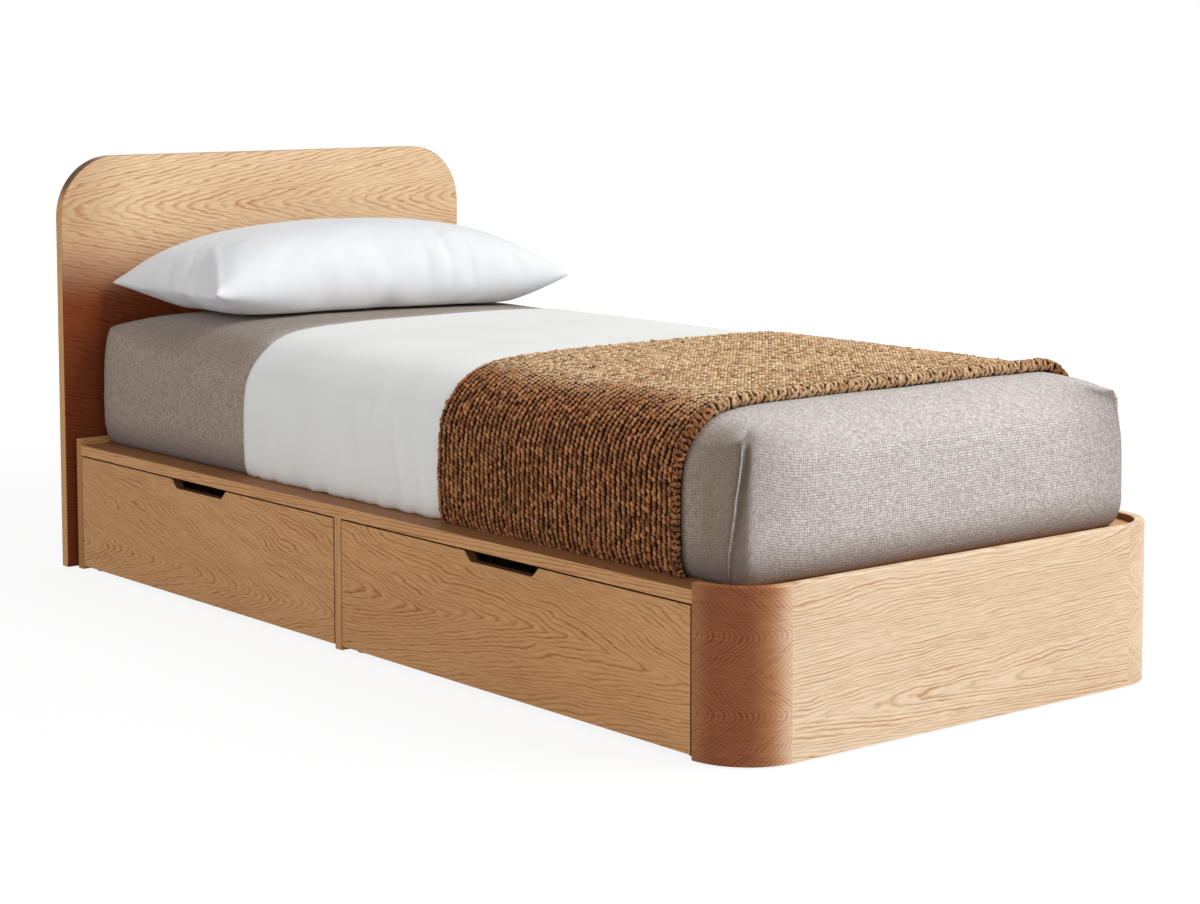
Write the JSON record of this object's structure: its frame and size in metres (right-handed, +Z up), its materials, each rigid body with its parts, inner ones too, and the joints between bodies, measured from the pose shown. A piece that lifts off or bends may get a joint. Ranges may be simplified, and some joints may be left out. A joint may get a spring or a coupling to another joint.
{
  "type": "single bed with drawers",
  "caption": "Single storage bed in light oak: bent footboard, free-standing rounded headboard, drawers with finger notches in one long side, and a dressed mattress.",
  "frame": {"origin": "on the floor, under the middle of the bed's overall box", "axes": "+Z up, -Y towards the foot end, +Y towards the headboard, drawers open towards -X"},
  "size_m": [1.05, 2.126, 0.885],
  "materials": {
    "oak_veneer": "matt oiled light oak veneer, grain along the length",
    "birch_ply": "lacquered birch plywood",
    "beech": "bare beech",
    "spruce": "planed spruce",
    "runner_steel": "white powder coat",
    "fastener_steel": "zinc plated",
    "nylon": "natural nylon",
    "black_plastic": "matt black plastic",
    "grey_linen": "warm grey linen weave",
    "white_cotton": "smooth white cotton",
    "brown_knit": "chunky ochre-brown knit"
  },
  "bodies": {
    "root": {"adjustable_feet": "black_plastic", "cabinet_runner_screws": "fastener_steel", "deck_dowels": "beech", "drawer_divider": "oak_veneer", "drawer_side_deck_rail": "oak_veneer", "foot_blocks": "beech", "foot_deck_board": "oak_veneer", "foot_drawer_cabinet_runners": "runner_steel", "foot_end_panel": "oak_veneer", "footboard": "oak_veneer", "footboard_bolts": "fastener_steel", "footboard_spacers": "beech", "front_roller_pins": "fastener_steel", "head_deck_rail": "oak_veneer", "head_drawer_cabinet_runners": "runner_steel", "head_end_panel": "oak_veneer", "headboard": "oak_veneer", "headboard_battens": "beech", "headboard_bolts": "fastener_steel", "hidden_bay_divider": "oak_veneer", "hidden_side_deck_rail": "oak_veneer", "hidden_side_panel": "oak_veneer", "long_partition": "oak_veneer", "mattress": "grey_linen", "pillow": "white_cotton", "slats": "spruce", "throw": "brown_knit", "top_sheet": "white_cotton"},
    "foot_drawer": {"foot_drawer_back": "birch_ply", "foot_drawer_bottom": "birch_ply", "foot_drawer_box_runners": "runner_steel", "foot_drawer_foot_side": "birch_ply", "foot_drawer_front": "oak_veneer", "foot_drawer_front_screws": "fastener_steel", "foot_drawer_head_side": "birch_ply", "foot_drawer_inner_front": "birch_ply", "foot_drawer_rear_roller_pins": "fastener_steel", "foot_drawer_runner_screws": "fastener_steel"},
    "foot_drawer_front_rollers": {"foot_drawer_front_rollers": "nylon"},
    "foot_drawer_rear_rollers": {"foot_drawer_rear_rollers": "nylon"},
    "head_drawer": {"head_drawer_back": "birch_ply", "head_drawer_bottom": "birch_ply", "head_drawer_box_runners": "runner_steel", "head_drawer_foot_side": "birch_ply", "head_drawer_front": "oak_veneer", "head_drawer_front_screws": "fastener_steel", "head_drawer_head_side": "birch_ply", "head_drawer_inner_front": "birch_ply", "head_drawer_rear_roller_pins": "fastener_steel", "head_drawer_runner_screws": "fastener_steel"},
    "head_drawer_front_rollers": {"head_drawer_front_rollers": "nylon"},
    "head_drawer_rear_rollers": {"head_drawer_rear_rollers": "nylon"}
  },
  "joints": [
    {"name": "foot_drawer_slide", "type": "slide", "parent": "root", "child": "foot_drawer", "axis": [-1, 0, 0], "range_m": [0, 0.4]},
    {"name": "foot_drawer_front_roller_spin", "type": "hinge", "parent": "root", "child": "foot_drawer_front_rollers", "pos_m": [-0.474, -0.4705, 0.0584], "axis": [0, 1, 0], "range_deg": [-2292, 0]},
    {"name": "foot_drawer_rear_roller_spin", "type": "hinge", "parent": "foot_drawer", "child": "foot_drawer_rear_rollers", "pos_m": [-0.008, -0.4705, 0.0582], "axis": [0, 1, 0], "range_deg": [-2292, 0]},
    {"name": "head_drawer_slide", "type": "slide", "parent": "root", "child": "head_drawer", "axis": [-1, 0, 0], "range_m": [0, 0.4]},
    {"name": "head_drawer_front_roller_spin", "type": "hinge", "parent": "root", "child": "head_drawer_front_rollers", "pos_m": [-0.474, 0.5145, 0.0584], "axis": [0, 1, 0], "range_deg": [-2292, 0]},
    {"name": "head_drawer_rear_roller_spin", "type": "hinge", "parent": "head_drawer", "child": "head_drawer_rear_rollers", "pos_m": [-0.008, 0.5145, 0.0582], "axis": [0, 1, 0], "range_deg": [-2292, 0]}
  ],
  "couplings": [
    {"joint": "foot_drawer_front_roller_spin", "follows": "foot_drawer_slide", "rad_per_m": -100},
    {"joint": "foot_drawer_rear_roller_spin", "follows": "foot_drawer_slide", "rad_per_m": -100},
    {"joint": "head_drawer_front_roller_spin", "follows": "head_drawer_slide", "rad_per_m": -100},
    {"joint": "head_drawer_rear_roller_spin", "follows": "head_drawer_slide", "rad_per_m": -100}
  ]
}
